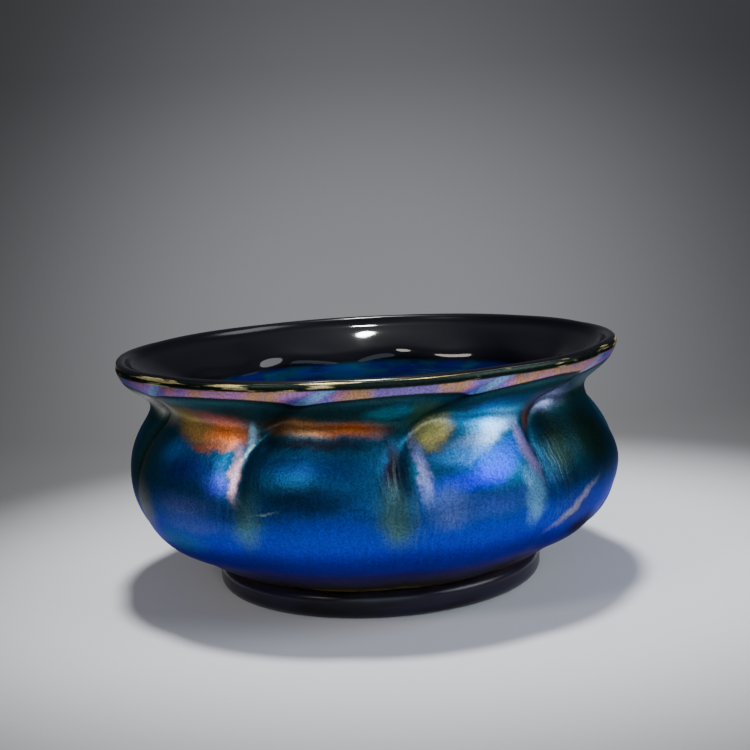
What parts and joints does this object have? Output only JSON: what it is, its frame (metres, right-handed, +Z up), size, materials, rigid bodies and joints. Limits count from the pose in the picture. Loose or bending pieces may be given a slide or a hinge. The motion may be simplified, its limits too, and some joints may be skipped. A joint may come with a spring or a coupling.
{
  "type": "art glass bowl",
  "caption": "Blown iridescent art glass bowl with a round lobed belly, pinched neck, flared lip and applied foot ring; dark glass cased in blue, violet and gold lustre.",
  "frame": {"origin": "middle of the bounding box at the table, on the plane the foot ring stands on", "axes": "+Z up through the mouth; the side shown in front faces -Y; +X to the right as seen from the front"},
  "size_m": [0.1819, 0.1815, 0.086],
  "materials": {
    "dark_glass": "gloss",
    "lustre_glass": "gloss",
    "foot_glass": "gloss"
  },
  "bodies": {
    "root": {"inner_glass": "dark_glass", "outer_casing": "lustre_glass", "foot_ring": "foot_glass"}
  },
  "joints": []
}
